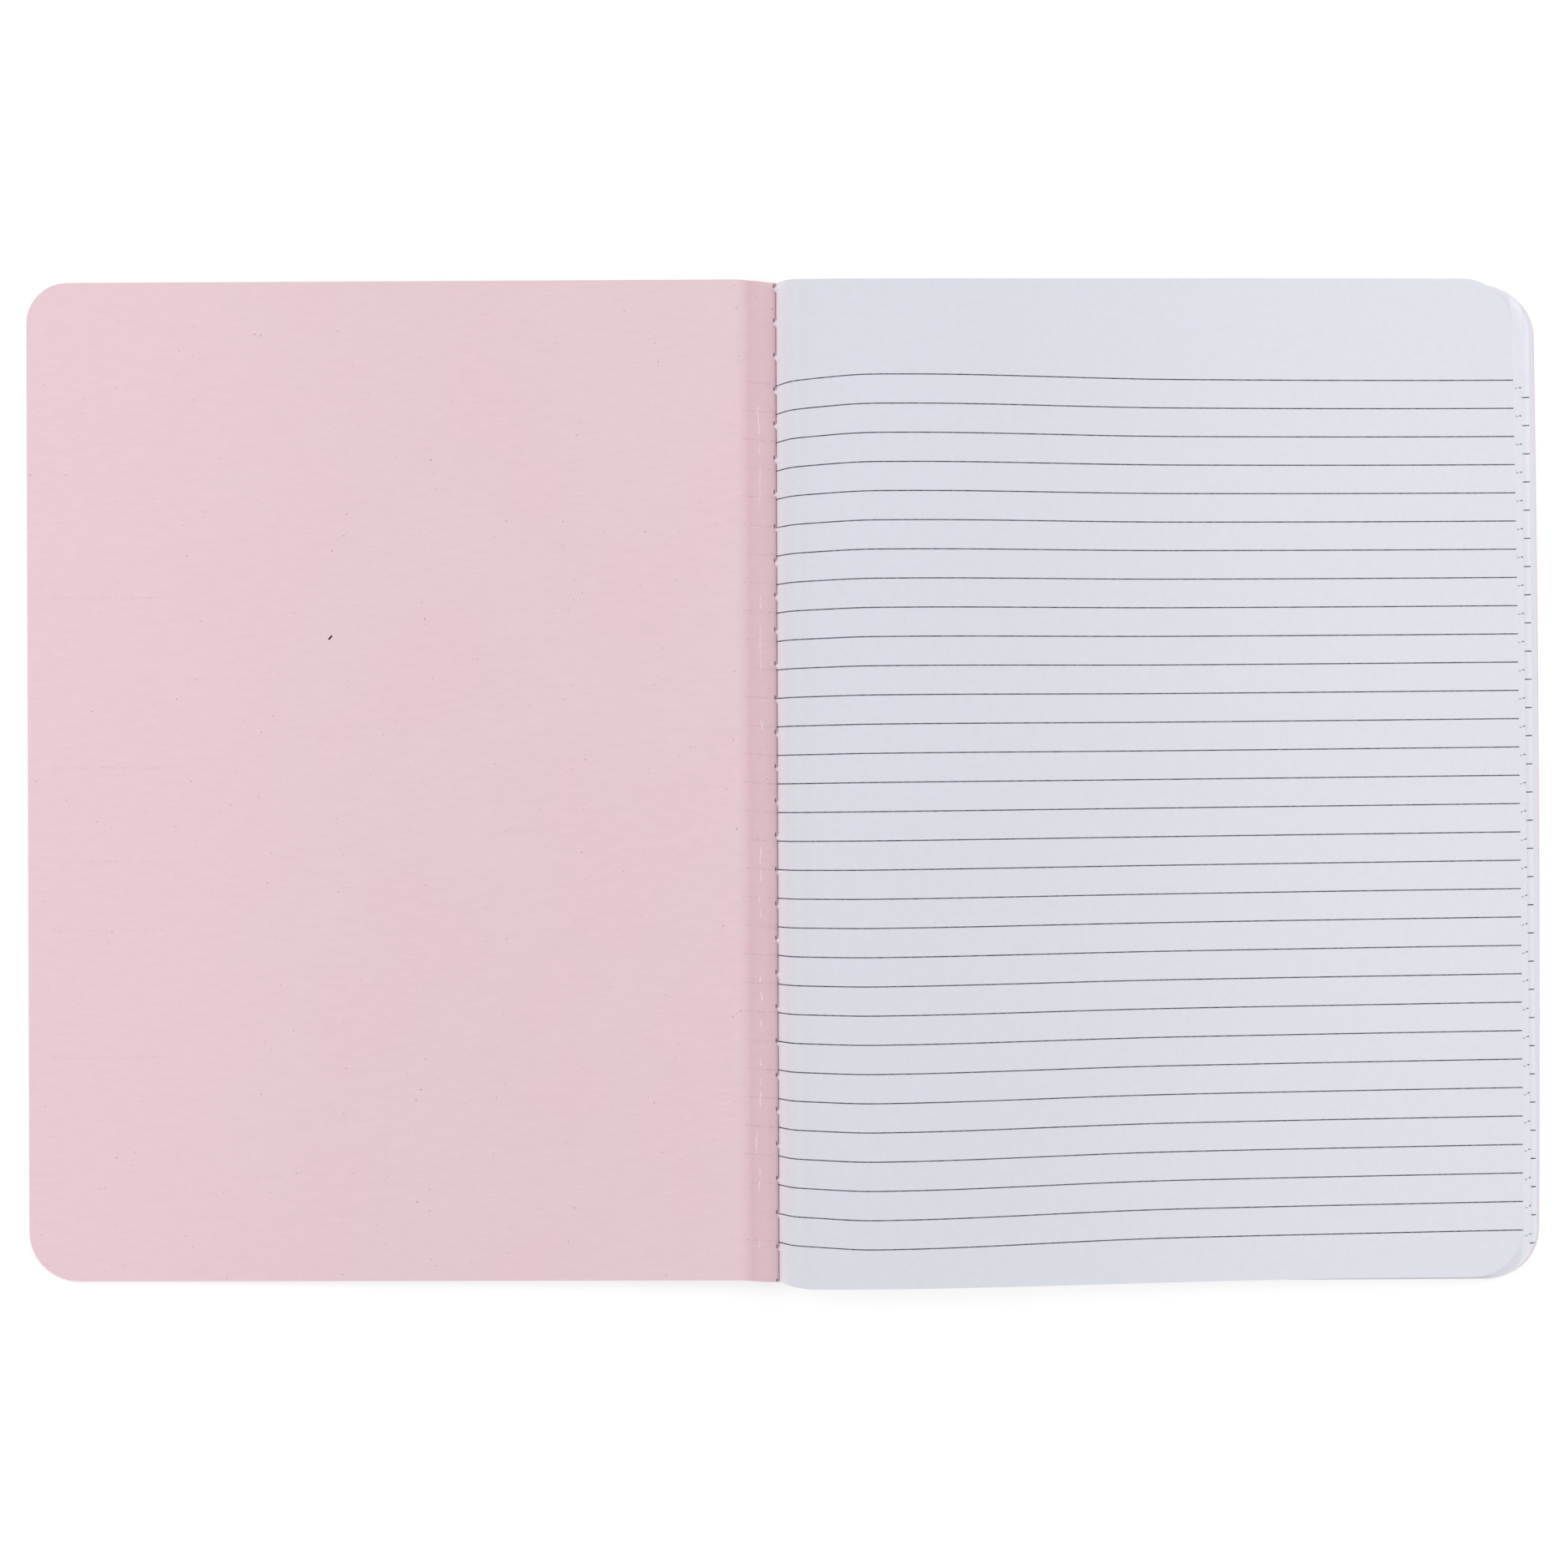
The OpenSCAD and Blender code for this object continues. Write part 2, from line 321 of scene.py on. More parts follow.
# Meshes
def sheet_of(name, columns, rows, place, thickness):
    """A grid bent to place(column, row) -> (x, y, z, u, v), thickened away from that face.

    The thickness is one number or, where a sheet stands for more air, one for each column.
    """
    walls = thickness if isinstance(thickness, list) else [thickness] * len(columns)
    bpy.ops.object.select_all(action="DESELECT")
    bpy.ops.mesh.primitive_grid_add(x_subdivisions=len(columns) - 1,
                                    y_subdivisions=len(rows) - 1, size=2)
    piece = bpy.context.object
    piece.name = piece.data.name = name
    mesh = piece.data
    print_place = {}
    depth = piece.vertex_groups.new(name="thickness")
    for vertex in mesh.vertices:
        i = round((vertex.co.x + 1) / 2 * (len(columns) - 1))
        j = round((vertex.co.y + 1) / 2 * (len(rows) - 1))
        x, y, z, u, v = place(columns[i], rows[j])
        vertex.co = placed(x, y, z)
        print_place[vertex.index] = (u, v)
        depth.add([vertex.index], walls[i] / max(walls), "REPLACE")
    for loop in mesh.loops:
        mesh.uv_layers[0].data[loop.index].uv = print_place[loop.vertex_index]
    wall = piece.modifiers.new("thickness", "SOLIDIFY")
    wall.thickness = max(walls) * MM
    wall.vertex_group = depth.name
    wall.offset = -1
    wall.use_even_offset = False
    bpy.ops.object.modifier_apply(modifier=wall.name)
    piece.vertex_groups.clear()
    bpy.ops.object.shade_smooth_by_angle(angle=radians(40))
    return piece


def joined(name, pieces):
    bpy.ops.object.select_all(action="DESELECT")
    for piece in pieces:
        piece.select_set(True)
    bpy.context.view_layer.objects.active = pieces[0]
    bpy.ops.object.join()
    pieces[0].name = pieces[0].data.name = name
    return pieces[0]


def stitch_rows():
    """Rows that follow the stitches, closer together where a stitch pulls the fold."""
    steps = [-2.6, -1.4, -0.95, -0.65, -0.4, -0.2, 0, 0.2, 0.4, 0.65, 0.95, 1.4, 2.6]
    rows = [-LEAF_H / 2, LEAF_H / 2]
    for i in range(STITCHES):
        centre = stitch_y(i)
        rows += [centre + step for step in steps if abs(centre + step) < LEAF_H / 2 - 0.05]
        rows.append(centre - STITCH_PITCH / 2)
    return sorted(row for row in rows if abs(row) <= LEAF_H / 2)


def first_sheet_place(column, row):
    x, z, reach, depth = column
    y = row / (LEAF_H / 2) * half_height(x, reach)
    if z >= FOLD_Z:
        near = max(0, 1 - x / PULL_X) ** 2
    else:
        near = max(0, 1 - (FOLD_Z - z) / PULL_DOWN) ** 2
    pull = fold_pull(row) * near
    y_shift = leaf_shift(x, depth)
    return (x - pull + edge_shift(x, y, reach, depth), y + y_shift, z + PULL_LIFT * pull,
            x, rule_place(x, y + y_shift, depth))


def inner_sheet_place(column, row):
    x, z, reach, depth = column
    y = row * half_height(x, reach)
    y_shift = leaf_shift(x, depth)
    return (x + edge_shift(x, y, reach, depth), y + y_shift, z,
            x, rule_place(INNER_PRINT_X, y + y_shift, depth))


def leaf_walls(number, path):
    """The leaf's own thickness, or in the swell, where the leaves part, most of the space to
    the next leaf, so that the ends of the pile look full."""
    return [max(SHEET_T, FULLNESS * (z - MID_Z) / (SHEETS - number)) if depth < 0.5 else SHEET_T
            for x, z, reach, depth in path]


def folded_sheet(name, number, steps, rows, place):
    path = sheet_path(number, *steps)
    return sheet_of(name, path, rows, place, leaf_walls(number, path))


first_sheet = folded_sheet("first_sheet", 0, FIRST_SHEET_STEPS, stitch_rows(), first_sheet_place)
inner_sheets = joined("inner_sheets", [
    folded_sheet("sheet", number, INNER_SHEET_STEPS, [-1, 1], inner_sheet_place)
    for number in range(1, SHEETS)])
for piece in (first_sheet, inner_sheets):
    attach(piece, "page_block")
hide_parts("page_block")


# Pink lining
def cover_z(x):
    """Height of the inside of the front cover at x, left of the fold."""
    return COVER_T + (x + FRONT_REACH) * (BAND_Z - COVER_T) / (FRONT_REACH - FRONT_BAND)


def band_z(x):
    """Height of the unstiffened band: it drops to a crease, rolls over a ridge and dips."""
    crease = CREASE_DEPTH * exp(-((x + CREASE) / CREASE_HALF) ** 2)
    return (cover_z(x) - CREASE_DROP * smooth(x, DROP_START, -CREASE + CREASE_HALF)
            - GROOVE_DIP * smooth(x, *GROOVE_SPAN) - crease)


# Columns that go down round the nose of the pages, as angles from its top
NOSE_TURN = [("ring", radians(a)) for a in range(6, 91, 6)]


def front_columns(inner):
    """From the front cover's fore edge to a distance from the fold."""
    xs = [inner] + spread(inner, FRONT_REACH - CORNER_R, 20) + corner_columns(FRONT_REACH)
    return [-x for x in reversed(xs)]


def front_y(x, row):
    """y on the front cover for a row of LEAF_H: its corner at the head is tighter."""
    radius = FRONT_HEAD_R if row > 0 else CORNER_R
    return row / (LEAF_H / 2) * half_height(-x, FRONT_REACH, radius)


def lining_columns():
    """From the front cover's fore edge over the band and down round the nose of the pages."""
    band = spread(-FRONT_BAND, -STRIP, 24)
    strip = spread(-STRIP, -0.06, 7)
    return front_columns(FRONT_BAND) + band + strip + NOSE_TURN


def lining_place(column, row):
    if isinstance(column, tuple):
        radius, a = NOSE_R + FOLD_GAP, column[1]
        x, z = NOSE_R - radius * cos(a), FOLD_Z - radius * sin(a)
        return x, row, z, 0, row
    x = column
    y = front_y(x, row)
    y_shift = FRONT_SHIFT * smooth(-x, 0, FRONT_BAND)
    z = cover_z(x) if x <= -FRONT_BAND else band_z(x)
    if x > -STRIP:
        # The strip turns down late where a stitch pulls the fold of the first sheet over it
        into = (x + STRIP) / STRIP
        held = 1 - fold_pull(row) / TIP_PULL
        z -= (z - FOLD_Z + STRIP_END) * (into ** 5 * held + into ** 9 * (1 - held))
    return x, y + y_shift, z, x, y


front_endpaper = sheet_of("front_endpaper", lining_columns(), stitch_rows(), lining_place, LINING_T)
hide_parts("front_lining", "spine_fold")
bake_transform(front_endpaper)


def back_columns(start, end, round_end):
    """From a distance from the fold to another, which is the fore edge if it is round."""
    xs = [start] + spread(start, BACK_BAND, 8)
    if round_end:
        return xs + spread(BACK_BAND, end - CORNER_R, 10) + corner_columns(end)
    return xs + spread(BACK_BAND, end, 6)


def back_place(z):
    """Places a flat layer of the back cover whose top is at height z."""
    def place(x, row):
        y = row * half_height(x, BACK_EDGE_REACH) / (LEAF_H / 2)
        y_shift = (BACK_SHIFT + BACK_RAISE) * smooth(x, NOSE_R, BACK_BAND)
        return x + edge_shift(x, y, BACK_EDGE_REACH, 1), y + y_shift, z, x, y
    return place


# Rows that let the fore edge bow
BACK_ROWS = [LEAF_H / 2 * i / 8 for i in range(-8, 9)]

back_endpaper = sheet_of("back_endpaper", back_columns(NOSE_R, BACK_EDGE_REACH, True),
                         BACK_ROWS, back_place(COVER_T), LINING_T)
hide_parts("back_lining")
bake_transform(back_endpaper)


# Cloth tape
def tape_columns():
    under = [-x for x in reversed([FRONT_BAND] + spread(FRONT_BAND, FRONT_TAPE, 6))]
    return under + spread(-FRONT_BAND, -TAPE_TURN, 14) + NOSE_TURN


def tape_place(column, row):
    """Inside of the tape: under the board, then against the lining, then round the nose."""
    y = row * LEAF_H / 2
    if isinstance(column, tuple):
        radius, a = FOLD_Z - SKIN_T, column[1]
        return NOSE_R - radius * cos(a), y, FOLD_Z - radius * sin(a), 0, y
    x = column
    y_shift = FRONT_SHIFT * smooth(-x, 0, FRONT_BAND)
    if x <= -FRONT_BAND:
        z = cover_z(x) - LINING_T - BOARD_T
    else:
        z = band_z(x) - LINING_T - BOARD_T * (1 - smooth(x, -FRONT_BAND, -FRONT_BAND + TAPE_EASE))
        z -= TAPE_DROP * smooth(x, -TAPE_DROP_X, -TAPE_TURN)
    return x, y + y_shift, z, x, y


front_tape = sheet_of("front_tape", tape_columns(), [-1, 1], tape_place, SKIN_T)
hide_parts("front_tape_wing", "spine_tape")
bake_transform(front_tape)

back_tape = sheet_of("back_tape", back_columns(NOSE_R, BACK_TAPE, False), BACK_ROWS,
                     back_place(SKIN_T), SKIN_T)
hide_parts("back_tape_wing")
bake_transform(back_tape)


# Boards and their covering
def front_layer(name, inner, depth, thickness):
    """A layer of the front cover, its top at a depth below the cover's inside."""
    def place(x, row):
        y = front_y(x, row)
        return x, y + FRONT_SHIFT, cover_z(x) - depth, x, y
    return sheet_of(name, front_columns(inner), [-LEAF_H / 2, LEAF_H / 2], place, thickness)


def back_layer(name, inner, height, thickness):
    """A layer of the back cover, its top at a height above the table."""
    columns = [inner] + spread(inner, BACK_EDGE_REACH - CORNER_R, 10)
    columns += corner_columns(BACK_EDGE_REACH)
    return sheet_of(name, columns, BACK_ROWS, back_place(height), thickness)


front_card = front_layer("front_card", FRONT_BAND, LINING_T, BOARD_T)
front_covering = front_layer("front_covering", FRONT_TAPE, LINING_T + BOARD_T, SKIN_T)
back_card = back_layer("back_card", BACK_BAND, SKIN_T + BOARD_T, BOARD_T)
back_covering = back_layer("back_covering", BACK_TAPE, SKIN_T, SKIN_T)
for piece, body, node, slot in (
        (front_card, "front_cover", "front_board", "board"),
        (front_covering, "front_cover", "front_cover_sheet", "cover_paper"),
        (back_card, "back_cover", "back_board", "board"),
        (back_covering, "back_cover", "back_cover_sheet", "cover_paper")):
    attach(piece, body)
    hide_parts(node)


# Materials
def linear(colour):
    """An sRGB hex colour as linear RGBA."""
    values = [int(colour[i:i + 2], 16) / 255 for i in (1, 3, 5)]
    return [v / 12.92 if v <= 0.04045 else ((v + 0.055) / 1.055) ** 2.4 for v in values] + [1]


def add(tree, kind, feeds=None, **settings):
    """Adds a node with its settings; feeds maps its inputs to values, nodes or sockets."""
    node = tree.nodes.new("ShaderNode" + kind)
    for name, value in settings.items():
        setattr(node, name, value)
    for socket, value in (feeds or {}).items():
        if isinstance(value, bpy.types.Node):
            value = value.outputs[0]
        if isinstance(value, bpy.types.NodeSocket):
            tree.links.new(value, node.inputs[socket])
        else:
            node.inputs[socket].default_value = value
    return node


def material(name, roughness, specular):
    made = bpy.data.materials.new(name)
    made.use_nodes = True
    shader = made.node_tree.nodes["Principled BSDF"]
    shader.inputs["Roughness"].default_value = roughness
    shader.inputs["Specular IOR Level"].default_value = specular
    return made, made.node_tree, shader


def in_mm(tree, scale=(1, 1, 1)):
    """Object coordinates in millimetres, each axis multiplied by its scale."""
    coordinates = add(tree, "TexCoord").outputs["Object"]
    return add(tree, "Mapping", {"Vector": coordinates, "Scale": [s / MM for s in scale]})


def finish_with(tree, shader, tone, relief, strength, height):
    """Gives the shader its colour, and a relief of a height in mm."""
    tree.links.new(tone.outputs[0], shader.inputs["Base Color"])
    bump = add(tree, "Bump", {"Height": relief, "Strength": strength, "Distance": height * MM})
    tree.links.new(bump.outputs[0], shader.inputs["Normal"])


def share(tree, *parts):
    """The product of its parts.

    A part is a value, or (value, start, end) for a smooth step from 0 at start to 1 at end,
    or (value, start, end, low, high) for one from low to high.
    """
    product = None
    for part in parts:
        if isinstance(part, tuple):
            value, start, end, low, high = (*part, 0.0, 1.0)[:5]
            part = add(tree, "MapRange", {"Value": value, "From Min": start, "From Max": end,
                                          "To Min": low, "To Max": high},
                       interpolation_type="SMOOTHSTEP")
        if product is not None:
            part = add(tree, "Math", {0: product, 1: part}, operation="MULTIPLY")
        product = part
    return product


def window(tree, value, start, end, soft):
    """1 between start and end, and 0 outside."""
    return share(tree, (value, start - soft, start + soft),
                 (value, end - soft, end + soft, 1.0, 0.0))


def lines(tree, step, wide, soft, pitch=LINE_STEP):
    """1 on thin lines at every whole number of step, given their half width in mm."""
    # Distance in mm to the nearest whole number; FRACT and ABSOLUTE use no number
    off = step
    for operation, number in (("ADD", 0.5), ("FRACT", 0), ("SUBTRACT", 0.5), ("ABSOLUTE", 0),
                              ("MULTIPLY", pitch)):
        off = add(tree, "Math", {0: off, 1: number}, operation=operation)
    return share(tree, (off, wide, wide + soft, 1.0, 0.0))


def strokes(tree, along, across, marks):
    """1 in small straight marks, each given as (x, y, half width, half length) in mm."""
    made = None
    for x, y, wide, tall in marks:
        mark = share(tree, add(tree, "Math", {0: along, 1: x, 2: wide}, operation="COMPARE"),
                     add(tree, "Math", {0: across, 1: y, 2: tall}, operation="COMPARE"))
        if made is not None:
            mark = add(tree, "Math", {0: made, 1: mark}, operation="MAXIMUM")
        made = mark
    return made


def washed(tree, tone, colour, *parts):
    """A tone, which is a hex value or a node, with a hex colour laid over by a share."""
    if isinstance(tone, str):
        tone = linear(tone)
    return add(tree, "MixRGB", {"Fac": share(tree, *parts), "Color1": tone,
                                "Color2": linear(colour)})


def mottled(tree, tone, *parts):
    """A tone made darker and lighter by a share."""
    return add(tree, "VectorMath", {0: tone, 1: share(tree, *parts)}, operation="MULTIPLY")


# The ink on the fanned leaves shows as two small dots: where each starts and ends, as shares of
# the fanned width, and how dark it is
INK_DOTS = ((0.3, 0.55, 0.5), (0.74, 0.95, 0.95))


def ruled_paper(name, near_fold, at_edge):
    """Uncoated writing paper, offset-ruled: matt, faintly mottled, slightly blue-white."""
    made, tree, shader = material(name, 0.92, 0.15)
    place = add(tree, "SeparateXYZ", {0: add(tree, "UVMap")})
    along, step = place.outputs[0], place.outputs[1]
    mm = in_mm(tree)
    inside = add(tree, "Math", {0: step}, operation="ABSOLUTE")
    inside = add(tree, "Math", {0: inside, 1: RULED}, operation="LESS_THAN")
    ink = add(tree, "TexNoise", {"Vector": mm, "Scale": 0.9, "Detail": 3.0})
    broken = add(tree, "TexNoise", {"Vector": mm, "Scale": 2.6, "Detail": 1.0})
    # Between the first page's edge and the ledge below, the ink is left only in the dots
    fanned = SLANTED_REACH - TOP_REACH
    slope = window(tree, along, TOP_REACH + 0.02, SLANTED_REACH + 0.02, 0.02)
    below = share(tree, (along, LEDGE_REACH + 0.02, LEDGE_REACH + 0.1))
    bare = add(tree, "Math", {0: slope, 1: below}, operation="MAXIMUM")
    first, second = (
        share(tree, window(tree, along, TOP_REACH + fanned * start, TOP_REACH + fanned * end,
                           0.05), dark)
        for start, end, dark in INK_DOTS)
    dots = add(tree, "Math", {0: first, 1: second}, operation="ADD")
    dots = add(tree, "Math", {0: dots, 1: share(tree, (broken, 0.5, 0.56, 0.0, 0.3))},
               operation="MAXIMUM")
    kept = add(tree, "Mix", {"Factor": bare, 2: 1.0, 3: share(tree, dots, slope)})
    rule = share(tree, lines(tree, step, 0.11, 0.08), inside, kept, (ink, 0.3, 0.7, 0.8, 1.0))
    # Painted darker from the fore edge back to the crest, standing in for the light falling off
    # towards the middle of the book
    tone = washed(tree, near_fold, at_edge, (along, 30.0, 180.0))
    # Painted lighter beside the fold, standing in for light bounced from the pink cover onto the
    # steep rise
    tone = washed(tree, tone, "#f1f3fa", (along, 1.0, 7.0, 1.0, 0.0))
    # A painted highlight along the rounded edge of the fold
    tone = washed(tree, tone, "#fdfbff", (along, 0.2, 2.2, 0.7, 0.0))
    # The fanned edges catch the light, and the ledge below them lies in their shade
    tone = washed(tree, tone, "#f2f3fa",
                  window(tree, along, TOP_REACH + 0.1, SLANTED_REACH - 0.1, 0.3))
    tone = washed(tree, tone, "#eff0f8", (along, LEDGE_REACH - 1.2, LEDGE_REACH))
    fibres = add(tree, "TexNoise", {"Vector": mm, "Scale": 0.55, "Detail": 6.0,
                                    "Roughness": 0.7})
    tone = mottled(tree, tone, (fibres, 0.3, 0.7, 0.984, 1.012))
    finish_with(tree, shader, washed(tree, tone, "#4a4654", rule), fibres, 0.15, 0.02)
    return made


# Where the fold of the lining has cracked to white fibre, as (x, y, half width, half length)
CRACKS = (
    (-4.5, 89.5, 0.06, 3.6), (-4.2, 82.2, 0.06, 1.2), (-4.2, 73.0, 0.04, 4.8),
    (-4.1, 44.4, 0.06, 1.6), (-4.1, 33.0, 0.05, 5.2), (-4.0, 14.0, 0.1, 1.1),
    (-4.3, -18.3, 0.06, 2.0), (-4.4, -23.3, 0.06, 1.4), (-4.4, -29.1, 0.06, 0.8),
    (-4.4, -32.5, 0.06, 1.0), (-4.4, -49.1, 0.1, 0.7), (-4.4, -53.2, 0.06, 1.2),
    (-4.5, -59.7, 0.06, 0.8), (-4.5, -69.4, 0.06, 0.9), (-4.5, -74.3, 0.06, 1.0),
    (-4.5, -78.6, 0.06, 2.0), (-5.6, -89.6, 0.05, 2.6), (-4.8, -96.8, 0.06, 1.0),
    (-4.8, -100.1, 0.1, 1.1), (-4.9, -114.5, 0.05, 1.0),
)
# Faint rubbed streaks beside the fore edge, measured as the cracks are
SCUFFS = tuple((-166.0, y, 14.0, 0.35) for y in (45.7, 3.5, -19.7, -36.8, -68.4))
# A dark fleck of pulp in the front lining
FLECK_X, FLECK_Y, FLECK_TURN = -110.7, 35.6, radians(-50)


def lining_paper():
    """Smooth pink endpaper: matt, toothed, cracked white where it folds beside the sewing."""
    made, tree, shader = material("pink_endpaper", 0.72, 0.25)
    uv = add(tree, "UVMap")
    place = add(tree, "SeparateXYZ", {0: uv})
    x, y = place.outputs[0], place.outputs[1]
    mm = in_mm(tree)
    wander = add(tree, "TexNoise", {"Vector": mm, "Scale": 0.35, "Detail": 2.0})
    bent = add(tree, "Math", {0: wander, 1: 1.6, 2: -0.8}, operation="MULTIPLY_ADD")
    bent = add(tree, "Math", {0: x, 1: bent}, operation="ADD")
    broken = add(tree, "TexNoise", {"Vector": mm, "Scale": 1.6, "Detail": 3.0})
    clouds = add(tree, "TexNoise", {"Vector": mm, "Scale": 0.03, "Detail": 4.0})
    tone = washed(tree, "#eaccd4", "#e9ced5", (clouds, 0.3, 0.7))
    # Painted paler towards the front cover's fore edge, standing in for the light falling off
    # towards the middle of the book, and painted paler where the back lining shows past the pages,
    # over the shade of the pile of leaves beside it
    tone = washed(tree, tone, "#efd1d8", (x, -190.0, -70.0, 1.0, 0.0))
    tone = washed(tree, tone, "#f4e0e6", (x, 150.0, 160.0))
    turned = add(tree, "Mapping", {"Vector": mm, "Rotation": (0, 0, radians(-40)),
                                   "Scale": (0.22, 0.9, 0.6)})
    tooth = add(tree, "TexNoise", {"Vector": turned, "Scale": 1.1, "Detail": 5.0,
                                   "Roughness": 0.7})
    tone = mottled(tree, tone, (tooth, 0.3, 0.7, 0.978, 1.018))
    tone = washed(tree, tone, "#cba3ae", strokes(tree, x, y, SCUFFS),
                  (broken, 0.45, 0.6, 0.0, 0.16))
    # The band beside the fold is soiled by the ruling's ink and creased, and is painted darker,
    # standing in for the page block's shade; painted shade also marks the crease and the groove
    tone = washed(tree, tone, "#cda1a8", (x, -10.5, -5.5), (x, -5.0, -1.0, 1.0, 0.3), 0.36)
    step = add(tree, "Math", {0: y, 1: 1 / RULE_PITCH, 2: -RULE_MIDDLE / RULE_PITCH},
               operation="MULTIPLY_ADD")
    tone = washed(tree, tone, "#a38794", lines(tree, step, 0.1, 0.15),
                  window(tree, x, -8.6, 0.6, 0.6), window(tree, step, -RULED, RULED, 0.1),
                  (broken, 0.42, 0.62, 0.0, 0.3))
    # Painted shade along the crease
    tone = washed(tree, tone, "#b88e98",
                  window(tree, bent, -CREASE - 0.3, -CREASE + CREASE_HALF, 0.9), 0.12)
    # Painted shade on the strip that turns down into the groove beside the fold
    tone = washed(tree, tone, "#e2c0c8", window(tree, x, -STRIP, 0.1, 0.06))
    # Needle holes, on the head side of each stitch, painted as dark dots that stand in for the
    # shade inside each hole
    stitch = add(tree, "Math", {0: y, 1: 1 / STITCH_PITCH,
                                2: -(stitch_y(0) + NEEDLE_OFF) / STITCH_PITCH},
                 operation="MULTIPLY_ADD")
    tone = washed(tree, tone, "#4e323c", lines(tree, stitch, 0.3, 0.35, STITCH_PITCH),
                  window(tree, x, -0.72, -0.4, 0.06), 0.85)
    tone = washed(tree, tone, "#fbf3f5", strokes(tree, bent, y, CRACKS),
                  (broken, 0.35, 0.5, 0.3, 0.95))
    specks = add(tree, "TexNoise", {"Vector": mm, "Scale": 1.5, "Detail": 0.0})
    tone = washed(tree, tone, "#6a4a55", (specks, 0.86, 0.88, 0.0, 0.5))
    fleck = add(tree, "Mapping", {"Vector": uv, "Location": (-FLECK_X, -FLECK_Y, 0)})
    fleck = add(tree, "Mapping", {"Vector": fleck, "Rotation": (0, 0, FLECK_TURN)})
    fleck = add(tree, "SeparateXYZ", {0: fleck})
    tone = washed(tree, tone, "#2a1c22",
                  strokes(tree, fleck.outputs[0], fleck.outputs[1], ((0, 0, 0.65, 0.22),)))
    finish_with(tree, shader, tone, tooth, 0.15, 0.02)
    return made


def cover_paper():
    """Coated covering paper on the outside of the boards: satin, plain dusty rose."""
    made, tree, shader = material("coated_cover_paper", 0.45, 0.5)
    grain = add(tree, "TexNoise", {"Vector": in_mm(tree), "Scale": 0.8, "Detail": 6.0})
    finish_with(tree, shader, washed(tree, "#d9b1bc", "#e0bcc6", grain), grain, 0.2, 0.03)
    return made


def grey_board():
    """Pressed grey board: its cut edge shows fibres in layers."""
    made, tree, shader = material("pressed_grey_board", 0.9, 0.2)
    layers = add(tree, "TexNoise", {"Vector": in_mm(tree, (1, 1, 9)), "Scale": 1.4, "Detail": 5.0})
    finish_with(tree, shader, washed(tree, "#a99a88", "#c9bcab", layers), layers, 0.4, 0.05)
    return made


def bookcloth():
    """Fine woven spine tape, drawn at 0.5 mm a thread so that the weave shows."""
    made, tree, shader = material("woven_bookcloth", 0.8, 0.3)
    warp, weft = (add(tree, "TexWave", {"Vector": in_mm(tree), "Scale": 0.63}, bands_direction=axis)
                  for axis in "XY")
    weave = share(tree, warp.outputs["Fac"], weft.outputs["Fac"])
    finish_with(tree, shader, washed(tree, "#b98592", "#cf9fab", weave), weave, 0.5, 0.06)
    return made


def cotton_thread():
    """Twisted cotton: matt, ivory."""
    made, tree, shader = material("twisted_cotton", 0.85, 0.2)
    twist = add(tree, "TexWave", {"Vector": in_mm(tree), "Scale": 0.8}, bands_direction="DIAGONAL")
    twist = twist.outputs["Fac"]
    finish_with(tree, shader, washed(tree, "#cfc7b4", "#efe9da", twist), twist, 0.5, 0.05)
    return made


def dress(piece, made):
    piece.data.materials.clear()
    piece.data.materials.append(made)


paper = ruled_paper("uncoated_ruled_paper", "#dfe1ea", "#e6e6ef")
# The inner sheets, which show only at the fore edge, get a lighter copy of the paper: painted light
# over the shade of the leaves above them
edges = ruled_paper("ruled_paper_painted_lighter", "#eaebf3", "#edecf4")
pink, skin, card, cloth, cotton = (
    lining_paper(), cover_paper(), grey_board(), bookcloth(), cotton_thread())
for piece, made in ((first_sheet, paper), (inner_sheets, edges), (front_endpaper, pink),
                    (back_endpaper, pink), (front_tape, cloth), (back_tape, cloth),
                    (front_covering, skin), (back_covering, skin),
                    (front_card, card), (back_card, card),
                    (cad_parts["sewing_thread"], cotton)):
    dress(piece, made)


# Table, light and camera
# The table and the world look white, and light the notebook less than that
TABLE_GLOW, TABLE_GLOW_SHARE = 1.14, 0.6
WORLD_LIGHT, WORLD_SEEN = 0.62, 1.0
# The table's width and its clearance below the notebook, in metres
TABLE_W, TABLE_DROP = 60, 0.00005
# Place of the softboxes to each side, towards the head and above the table, and their width,
# in metres
LAMP_X, LAMP_Y, LAMP_Z, LAMP_W = 0.85, 0.3, 1.15, 0.8


def looked_at(tree):
    """1 for the rays that look at the background: from the camera, and by gloss and glass."""
    rays = add(tree, "LightPath")
    seen = add(tree, "Math", {0: rays.outputs["Is Camera Ray"], 1: rays.outputs["Is Glossy Ray"]},
               operation="MAXIMUM")
    return add(tree, "Math", {0: seen, 1: rays.outputs["Is Transmission Ray"]},
               operation="MAXIMUM")


def floor_finish():
    """Plain white table: camera rays see mostly its own white, and the notebook's shadow."""
    made, tree, shader = material("white_table", 0.9, 0.1)
    shader.inputs["Base Color"].default_value = linear("#fbfbfb")
    glow = add(tree, "Emission", {"Color": (1, 1, 1, 1), "Strength": TABLE_GLOW})
    surface = add(tree, "MixShader", {0: share(tree, looked_at(tree), TABLE_GLOW_SHARE),
                                      1: shader, 2: glow})
    tree.links.new(surface.outputs[0], tree.nodes["Material Output"].inputs["Surface"])
    return made


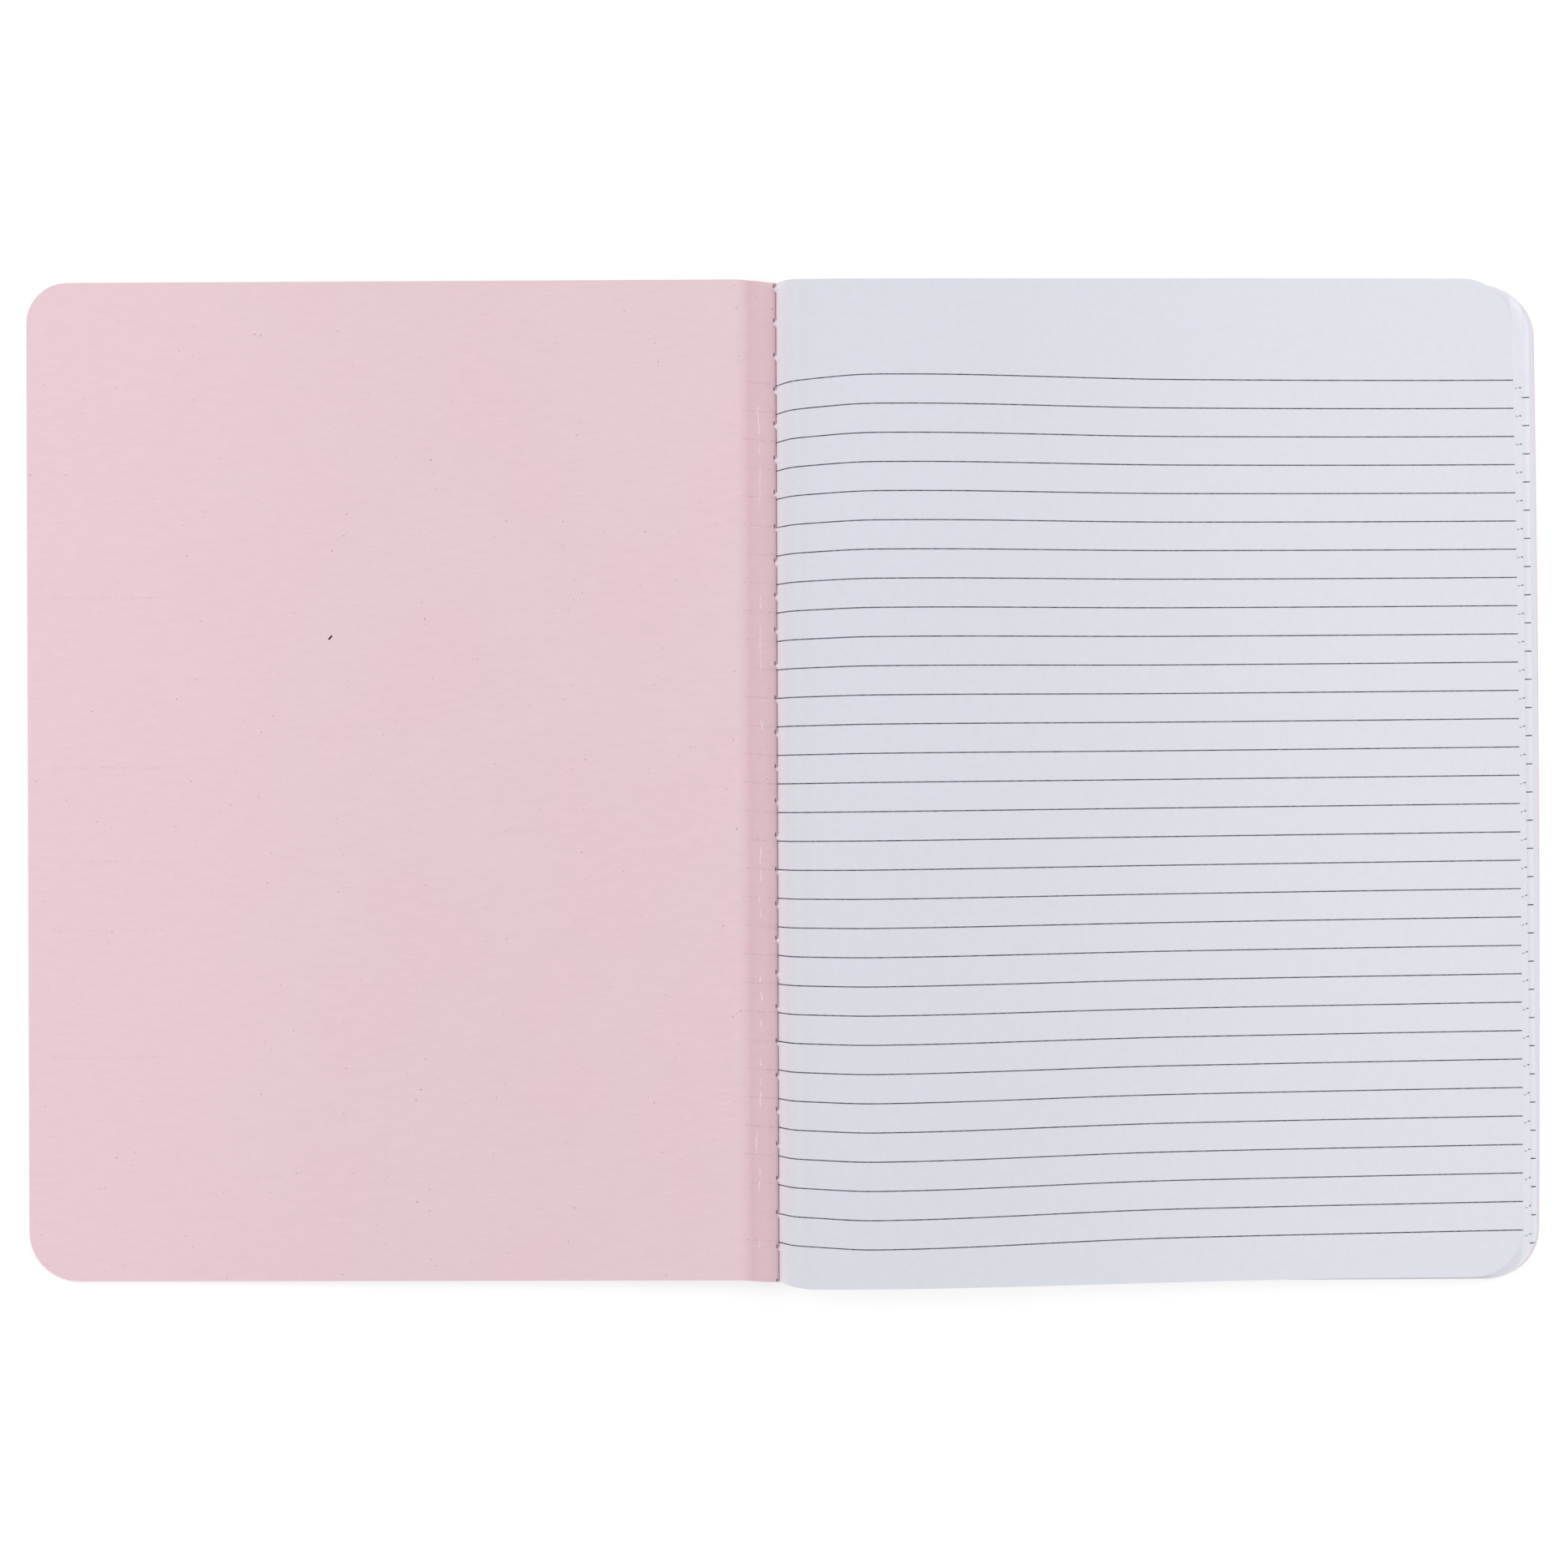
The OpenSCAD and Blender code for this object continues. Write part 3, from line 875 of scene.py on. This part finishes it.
bpy.ops.object.select_all(action="DESELECT")
bpy.ops.mesh.primitive_plane_add(size=TABLE_W, location=(0, 0, -TABLE_DROP))
floor = bpy.context.object
floor.name = "table_top"
dress(floor, floor_finish())

world = bpy.data.worlds.new("studio")
bpy.context.scene.world = world
world.use_nodes = True
background = world.node_tree.nodes["Background"]
background.inputs["Color"].default_value = (1, 1, 1, 1)
brightness = add(world.node_tree, "MapRange", {"Value": looked_at(world.node_tree),
                                               "To Min": WORLD_LIGHT, "To Max": WORLD_SEEN})
world.node_tree.links.new(brightness.outputs[0], background.inputs["Strength"])


def softbox(name, place, power):
    lamp = bpy.data.lights.new(name, "AREA")
    lamp.shape = "DISK"
    lamp.size = LAMP_W
    lamp.energy = power
    holder = bpy.data.objects.new(name, lamp)
    bpy.context.scene.collection.objects.link(holder)
    holder.location = place
    holder.rotation_mode = "QUATERNION"
    holder.rotation_quaternion = (-Vector(place)).to_track_quat("-Z", "Y")


softbox("softbox_right", (LAMP_X, LAMP_Y, LAMP_Z), 5.0)
softbox("softbox_left", (-LAMP_X, LAMP_Y, LAMP_Z), 4.4)

# The photograph was taken from 0.9 m above the book, a little left of the fold
CAMERA_DISTANCE = 900
CAMERA_TILT = 0.0217
CAMERA_LEVEL = sqrt(1 - CAMERA_TILT ** 2)
AXIS_X, AXIS_Y = 1.7, -0.4
ROLL = radians(0.2)
FOCAL_PX, FRAME_PX = 4445.8, 1932

right = Vector((CAMERA_LEVEL, 0, CAMERA_TILT))
up = Vector((0, 1, 0))
back = Vector((-CAMERA_TILT, 0, CAMERA_LEVEL))
camera_data = bpy.data.cameras.new("camera")
camera = bpy.data.objects.new("camera", camera_data)
bpy.context.scene.collection.objects.link(camera)
bpy.context.scene.camera = camera
turned_right = right * cos(ROLL) - up * sin(ROLL)
turned_up = right * sin(ROLL) + up * cos(ROLL)
camera.matrix_world = Matrix.Translation(
    placed(0, AXIS_Y, 0) + (right * AXIS_X + back * CAMERA_DISTANCE) * MM
) @ Matrix((turned_right, turned_up, back)).transposed().to_4x4()
camera_data.angle = 2 * atan(FRAME_PX / 2 / FOCAL_PX)
bpy.context.scene.view_settings.view_transform = "Standard"
